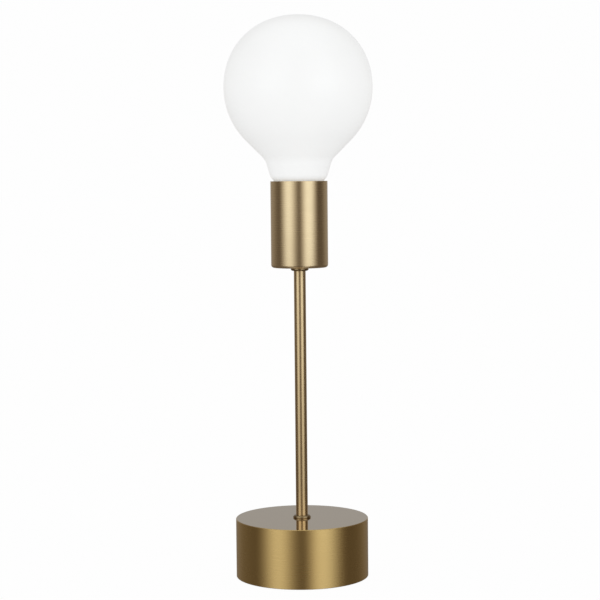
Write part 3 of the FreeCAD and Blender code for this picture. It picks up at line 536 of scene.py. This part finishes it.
def makeStem():
    s = stemSettings
    low, high = boxOf("stem_tube")
    outer, bore = high.x, high.x - s["wall"]
    line = roundOutline([
        (outer, low.z, s["edge"]), (outer, high.z, s["edge"]), (bore, high.z), (bore, low.z)])
    stem = turnPiece("stemRod", line, s["steps"])
    smooth(stem)
    return finishPiece(stem, "stand", ["stem_tube"], stemBrass)


def makeCollar(name, node, up):
    # wide end first: at the bottom on the base's collar, at the top on the cup's
    s = collarSettings
    low, high = boxOf(node)
    wide, height = high.x, high.z - low.z
    edge = s["edges"][node]
    bend = edge * s["round"]
    corners = [
        (s["bore"], 0), (wide, 0, bend), (wide, edge, bend),
        (s["bore"] + s["throat"], height, s["crown"]), (s["bore"], height)]
    line = roundOutline([
        (corner[0], low.z + corner[1] if up else high.z - corner[1]) + corner[2:]
        for corner in corners], arcStep=12)
    collar = turnPiece(name, line, s["steps"])
    smooth(collar)
    return finishPiece(collar, "stand", [node], shadedCollarBrass)


makeStem()
makeCollar("lowerCollar", "lower_collar", True)
makeCollar("upperCollar", "upper_collar", False)
print("stem and collars made")


# socket cup: deep straight cup with a rounded lower edge

cupSettings = {
    "wall": 1.0, "floor": 1.5, "corner": 2.5, "hole": 5.2, "rim": 0.3, "steps": 192,
}


def makeCup():
    s = cupSettings
    low, high = boxOf("socket_cup")
    outer = high.x
    inside = outer - s["wall"]
    line = roundOutline([
        (s["hole"], low.z), (outer, low.z, s["corner"]), (outer, high.z, s["rim"]),
        (inside, high.z, s["rim"]), (inside, low.z + s["floor"], s["corner"] - s["wall"]),
        (s["hole"], low.z + s["floor"])])
    cup = turnPiece("socketCup", line, s["steps"])
    smooth(cup)
    return finishPiece(cup, "stand", ["socket_cup"], cupBrass)


makeCup()
print("cup made")


# opal globe: crown curve, round belly, straight shoulder, waisted neck

globeSettings = {
    "wall": 0.9, "centreRise": 115.5, "rise": 60.4, "fullness": 0.585, "shoulder": 45.0,
    "bend": (13.35, 27.4, 3.0), "knee": (24.0, 41.6, 10.0),  # radius, height, round
    "waist": (55.4, 14.0),  # height, round: its radius follows from the straight shoulder
    "crownSteps": 24, "bellySteps": 10, "steps": 128,
}


def globeLine(contactHeight, foot, wide, inset):
    # from the crown down to the neck's end, inset from the glass's outside
    s = globeSettings
    middle = contactHeight + s["centreRise"]
    angle = math.radians(s["shoulder"])
    across, up, handle = wide - inset, s["rise"] - inset, s["fullness"]
    crown = []
    for step in range(s["crownSteps"] + 1):
        t = step / s["crownSteps"]
        u = 1 - t
        crown.append(Vector((
            3 * u * u * t * across * handle + 3 * u * t * t * across + t ** 3 * across,
            middle + u ** 3 * up + 3 * u * u * t * up + 3 * u * t * t * up * handle)))
    belly = []
    for step in range(1, s["bellySteps"] + 1):
        turn = angle * step / s["bellySteps"]
        belly.append(Vector((across * math.cos(turn), middle - across * math.sin(turn))))
    slope = Vector((-math.sin(angle), -math.cos(angle)))
    waistRise, waistRound = s["waist"]
    bendRadius, bendRise, bendRound = s["bend"]
    kneeRadius, kneeRise, kneeRound = s["knee"]
    leave = Vector((wide * math.cos(angle), middle - wide * math.sin(angle)))
    waist = leave + slope * ((leave.y - contactHeight - waistRise) / -slope.y)
    corners = [
        leave, waist, Vector((kneeRadius, contactHeight + kneeRise)),
        Vector((bendRadius, contactHeight + bendRise)), Vector((bendRadius, foot))]
    moved = []
    for index, corner in enumerate(corners):
        before = (corner - corners[index - 1]).normalized() if index else None
        after = (corners[index + 1] - corner).normalized() if index < len(corners) - 1 else None
        before = before or after
        after = after or before
        first, second = Vector((before.y, -before.x)), Vector((after.y, -after.x))
        moved.append(corner + (first + second) * (inset / (1 + first.dot(second))))
    neck = roundOutline([
        tuple(moved[0]), tuple(moved[1]) + (waistRound + inset,),
        tuple(moved[2]) + (kneeRound - inset,), tuple(moved[3]) + (bendRound + inset,),
        tuple(moved[4])], arcStep=6)
    return crown + belly + neck[1:]


def makeGlobe():
    s = globeSettings
    low, high = boxOf("bulb_globe")
    contactHeight = boxOf("cap_contact")[0].z
    outer = globeLine(contactHeight, low.z, high.x, 0)
    inner = globeLine(contactHeight, low.z, high.x, s["wall"])
    globe = turnPiece("opalGlobe", outer + inner[::-1], s["steps"], closed=False)
    smooth(globe, angle=60)
    return finishPiece(globe, "bulb", ["bulb_globe"], slotMaterials["opal_glass"])


makeGlobe()
print("globe made")


# screw cap of the bulb and the threaded shell of its holder: rolled from thin sheet

threadSettings = {"pitch": 25.4 / 7, "depth": 0.8, "ringStep": 0.3, "runOut": 1.2, "steps": 96}
capSettings = {
    "curl": 11.2, "curlRound": 1.1, "curlGap": 0.2, "sheet": 0.35, "wall": 12.9,
    "skirt": 4.5, "step": 0.9, "threadGap": 0.6, "shoulderRound": 0.5, "skirtRound": 0.4,
}
shellSettings = {
    "foot": 9.5, "sheet": 0.4, "corner": 1.0, "flare": 1.0, "threadGap": 2.4,
    "tabReach": 1.9, "tabLap": 0.3, "tabWidth": 5.0,
    "rivetHole": 1.25, "rivetSteps": 32, "cutDepth": 4,
}


def threadWave(height, turn):
    # 0 on the crest, 1 in the root of a right-hand thread
    share = height / threadSettings["pitch"] - turn / (2 * math.pi)
    return 0.5 - 0.5 * math.cos(2 * math.pi * share)


def rollThread(piece, low, high, reference):
    # the sheet is pressed in along the helix, and the thread runs out at both ends
    s = threadSettings
    for vertex in piece.data.vertices:
        height = vertex.co.z / mm
        if not low < height < high:
            continue
        fade = min(1.0, (height - low) / s["runOut"], (high - height) / s["runOut"])
        turn = math.atan2(vertex.co.y, vertex.co.x)
        press = s["depth"] * fade * threadWave(height - reference, turn)
        radius = math.hypot(vertex.co.x, vertex.co.y) / mm
        factor = (radius - press) / radius
        vertex.co.x *= factor
        vertex.co.y *= factor


def threadRings(radius, low, high):
    count = round((high - low) / threadSettings["ringStep"])
    return [(radius, low + (high - low) * step / count) for step in range(count + 1)]


def makeCap():
    s = capSettings
    low, high = boxOf("bulb_cap")
    shoulder = high.z - s["skirt"]
    wall, sheet, skirt = s["wall"], s["sheet"], high.x
    start, end = low.z + s["curlRound"] + s["curlGap"], shoulder - s["threadGap"]
    curl = roundOutline([
        (s["curl"], low.z), (wall, low.z, s["curlRound"]), (wall, start)])[:-1]
    flare = roundOutline([
        (wall, end), (wall, shoulder, s["shoulderRound"]),
        (skirt, shoulder + s["step"], s["skirtRound"]), (skirt, high.z)])
    innerFlare = roundOutline([
        (skirt - sheet, high.z), (skirt - sheet, shoulder + s["step"] + sheet / 2),
        (wall - sheet, shoulder + sheet / 2), (wall - sheet, end)])
    innerCurl = roundOutline([
        (wall - sheet, start), (wall - sheet, low.z + sheet, s["curlRound"] - sheet),
        (s["curl"], low.z + sheet)])
    outside = threadRings(wall, start, end)
    inside = threadRings(wall - sheet, start, end)[::-1]
    line = curl + outside + flare[1:] + innerFlare + inside[1:] + innerCurl[1:]
    cap = turnPiece("screwCap", line, threadSettings["steps"])
    rollThread(cap, start, end, low.z)
    smooth(cap, angle=40)
    return finishPiece(cap, "bulb", ["bulb_cap"], slotMaterials["nickel_cap"])


def makeThreadShell():
    # the shell's cup and its riveted tab, joined as one piece
    s = shellSettings
    low, high = boxOf("thread_shell")
    outer = high.x
    bore, floor = outer - s["sheet"], low.z + s["sheet"]
    start, end = low.z + s["threadGap"], high.z - s["flare"]
    outerFoot = roundOutline([
        (s["foot"], low.z), (outer, low.z, s["corner"]), (outer, start)])[:-1]
    innerFoot = roundOutline([
        (bore, start), (bore, floor, s["corner"] - s["sheet"]), (s["foot"], floor)])[1:]
    line = outerFoot + threadRings(outer, start, end) + [(outer, high.z), (bore, high.z)]
    line += threadRings(bore, start, end)[::-1] + innerFoot
    shell = turnPiece("threadedShell", line, threadSettings["steps"])
    rollThread(shell, start, end, boxOf("bulb_cap")[0].z)
    tab = makeShellTab(low.z, floor)
    pick(shell)
    tab.select_set(True)
    bpy.ops.object.join()
    smooth(shell, angle=40)
    return finishPiece(
        shell, "stand", ["thread_shell"], slotMaterials["contact_brass"])


def makeShellTab(bottom, top):
    # flat tongue towards the neutral rivet, with its hole round the rivet's shank
    s = shellSettings
    rivets = boxOf("contact_rivets")
    rivetX = rivets[0].x + (rivets[1].y - rivets[0].y) / 2
    inner, outerEnd = rivetX + s["tabReach"], -s["foot"] - s["tabLap"]
    deselectAll()
    bpy.ops.mesh.primitive_cube_add(size=1, location=(
        (inner + outerEnd) / 2 * mm, 0, (bottom + top) / 2 * mm))
    tab = bpy.context.object
    tab.scale = ((inner - outerEnd) * mm, s["tabWidth"] * mm, (top - bottom) * mm)
    place(tab)
    deselectAll()
    bpy.ops.mesh.primitive_cylinder_add(
        vertices=s["rivetSteps"], radius=s["rivetHole"] * mm, depth=s["cutDepth"] * mm,
        location=(rivetX * mm, 0, top * mm))
    cutHole(tab, place(bpy.context.object))
    return tab


makeCap()
makeThreadShell()
print("threads rolled")


# light and camera

# reflections: light panels stand round the lamp, at 0 beside the camera and + to the right,
# each full near its middle and gone at its soft edge; low is what the base sees near the table
studioSettings = {
    "ambient": 0.84, "white": 0.99, "fill": 0.105,
    "panels": [
        {"at": -42.8, "lowAt": -42.3, "full": 2, "gone": 48, "level": 1.57},
        {"at": 40.8, "lowAt": 33.5, "full": 5, "gone": 45, "level": 1.72},
        {"at": 180, "full": 50, "gone": 86, "level": 0.23},
        {"at": 180, "full": 4, "gone": 34, "level": 0.18},
        {"at": -106, "full": 4, "gone": 32, "level": 0.05},
    ],
    "tableTop": -0.01, "tableDeep": -0.24, "lowShare": 0.185, "lowWidth": 0.64, "lowFill": 0.128,
    "panelTop": 0.08, "panelEnd": 0.24, "highShare": 0.5,
    "warmGreen": 1.1, "warmBlue": 1.2,
    "rear": (0.38, 0.385, 0.40, 1), "rearSide": (0.8, 0.92), "rearRise": (0.02, 0.10),
    "ceiling": (0.66, 0.66, 0.66, 1), "ceilingRise": (0.64, 0.86),
    "floorSize": 60.0, "floorColour": (0.9, 0.9, 0.9, 1), "floorGlow": 0.985, "floorLevel": 0.994,
    "softboxes": {
        "leftSoftbox": {"azimuth": -38, "glow": 0.9},
        "rightSoftbox": {"azimuth": 38, "glow": 1.0},
    },
    "softboxDistance": 1.9, "softboxHeight": 0.5, "softboxSize": (1.1, 0.9), "softboxAim": 0.25,
}
cameraSettings = {
    "distance": 1.4848, "height": 0.3379, "lens": 105.98, "tilt": -3.945, "roll": 0.53,
}


def panelLight(tree, angle, panel, width, high):
    highAt, lowAt = panel["at"], panel.get("lowAt", panel["at"])
    middle = mapRange(tree, high, 0.0, 1.0, math.radians(lowAt), math.radians(highAt))
    turned = math2(tree, "SUBTRACT", angle, middle)
    away = math2(tree, "ARCCOSINE", math2(tree, "COSINE", turned, 0), 0)
    narrowed = math2(tree, "DIVIDE", away, width)
    edge = addNode(tree, "ShaderNodeMapRange", {
        "interpolation_type": "SMOOTHSTEP", "From Min": math.radians(panel["gone"]),
        "From Max": math.radians(panel["full"]), "To Max": panel["level"]}, {"Value": narrowed})
    return edge.outputs[0]


def makeWorld():
    s = studioSettings
    world = bpy.data.worlds.new("paleStudio")
    bpy.context.scene.world = world
    world.use_nodes = True
    tree = world.node_tree
    background = tree.nodes["Background"]
    direction = addNode(tree, "ShaderNodeTexCoord").outputs["Generated"]
    parts = addNode(tree, "ShaderNodeSeparateXYZ", None, {0: direction})
    rise = parts.outputs[2]
    angle = math2(tree, "ARCTAN2", parts.outputs[0], math2(tree, "MULTIPLY", parts.outputs[1], -1.0))
    high = mapRange(tree, rise, s["tableDeep"], s["tableTop"], 0.0, 1.0)
    width = mapRange(tree, high, 0.0, 1.0, s["lowWidth"], 1.0)
    total = 0.0
    for panel in s["panels"]:
        total = math2(tree, "ADD", panelLight(tree, angle, panel, width, high), total)
    share = math2(
        tree, "MULTIPLY", mapRange(tree, high, 0.0, 1.0, s["lowShare"], 1.0),
        mapRange(tree, rise, s["panelTop"], s["panelEnd"], 1.0, s["highShare"]))
    fill = mapRange(tree, high, 0.0, 1.0, s["lowFill"], s["fill"])
    level = math2(tree, "ADD", math2(tree, "MULTIPLY", total, share), fill)
    # the darker, the warmer: what stands in the shade of a brass lamp is brown
    warm = addNode(tree, "ShaderNodeCombineColor", None, {
        0: level, 1: math2(tree, "POWER", level, s["warmGreen"]),
        2: math2(tree, "POWER", level, s["warmBlue"])})
    behind = math2(
        tree, "MULTIPLY", mapRange(tree, parts.outputs[1], *s["rearSide"], 0.0, 1.0),
        mapRange(tree, rise, *s["rearRise"], 0.0, 1.0))
    walls = mixColour(tree, behind, warm.outputs[0], s["rear"])
    above = mapRange(tree, rise, *s["ceilingRise"], 0.0, 1.0)
    studio = mixColour(tree, above, walls, s["ceiling"])
    path = tree.nodes.new("ShaderNodeLightPath")
    colour = mixColour(tree, path.outputs["Is Glossy Ray"], (1, 1, 1, 1), studio)
    tree.links.new(colour, background.inputs["Color"])
    seen = math2(tree, "MAXIMUM", path.outputs["Is Camera Ray"], path.outputs["Is Transmission Ray"])
    plain = mapRange(tree, seen, 0.0, 1.0, s["ambient"], s["white"])
    strength = math2(tree, "MAXIMUM", plain, path.outputs["Is Glossy Ray"])
    tree.links.new(strength, background.inputs["Strength"])


def makeFloor():
    s = studioSettings
    deselectAll()
    bpy.ops.mesh.primitive_plane_add(size=s["floorSize"], location=(0, 0, 0))
    floor = bpy.context.object
    floor.name = "floor"
    material = bpy.data.materials.new("paleFloor")
    material.use_nodes = True
    tree = material.node_tree
    tree.nodes.remove(tree.nodes["Principled BSDF"])
    surface = addNode(tree, "ShaderNodeBsdfDiffuse", {"Color": s["floorColour"]})
    glow = addNode(tree, "ShaderNodeEmission", {"Color": (1, 1, 1, 1), "Strength": s["floorLevel"]})
    path = tree.nodes.new("ShaderNodeLightPath")
    seen = math2(tree, "MAXIMUM", path.outputs["Is Camera Ray"], math2(
        tree, "MAXIMUM", path.outputs["Is Glossy Ray"], path.outputs["Is Transmission Ray"]))
    mix = addNode(tree, "ShaderNodeMixShader", None, {
        0: math2(tree, "MULTIPLY", seen, s["floorGlow"]),
        1: surface.outputs[0], 2: glow.outputs[0]})
    tree.links.new(mix.outputs[0], tree.nodes["Material Output"].inputs[0])
    floor.data.materials.append(material)
    floor.visible_glossy = False  # the world's panels take its place in the brass


def makeSoftbox(name, azimuth, glow):
    # azimuth 0 is beside the camera, positive to the right
    s = studioSettings
    turn = math.radians(azimuth)
    width, tall = s["softboxSize"]
    bpy.ops.object.light_add(type="AREA", location=(
        s["softboxDistance"] * math.sin(turn), -s["softboxDistance"] * math.cos(turn),
        s["softboxHeight"]))
    lamp = bpy.context.object
    lamp.name = name
    lamp.data.shape = "RECTANGLE"
    lamp.data.size = width
    lamp.data.size_y = tall
    lamp.data.energy = glow * math.pi * width * tall
    lamp.visible_camera = False
    lamp.visible_glossy = False
    aim = Vector((0, 0, s["softboxAim"])) - lamp.location
    lamp.rotation_mode = "QUATERNION"
    lamp.rotation_quaternion = aim.to_track_quat("-Z", "Y")
    return lamp


def makeCamera():
    s = cameraSettings
    bpy.ops.object.camera_add(location=(0, -s["distance"], s["height"]))
    camera = bpy.context.object
    camera.rotation_mode = "QUATERNION"
    level = Quaternion((1, 0, 0), math.pi / 2 + math.radians(s["tilt"]))
    camera.rotation_quaternion = level @ Quaternion((0, 0, 1), -math.radians(s["roll"]))
    camera.data.lens = s["lens"]
    camera.data.dof.use_dof = False
    bpy.context.scene.camera = camera


makeWorld()
makeFloor()
for name, softbox in studioSettings["softboxes"].items():
    makeSoftbox(name, **softbox)
makeCamera()
bpy.context.scene.view_settings.view_transform = "Standard"
print("studio made")
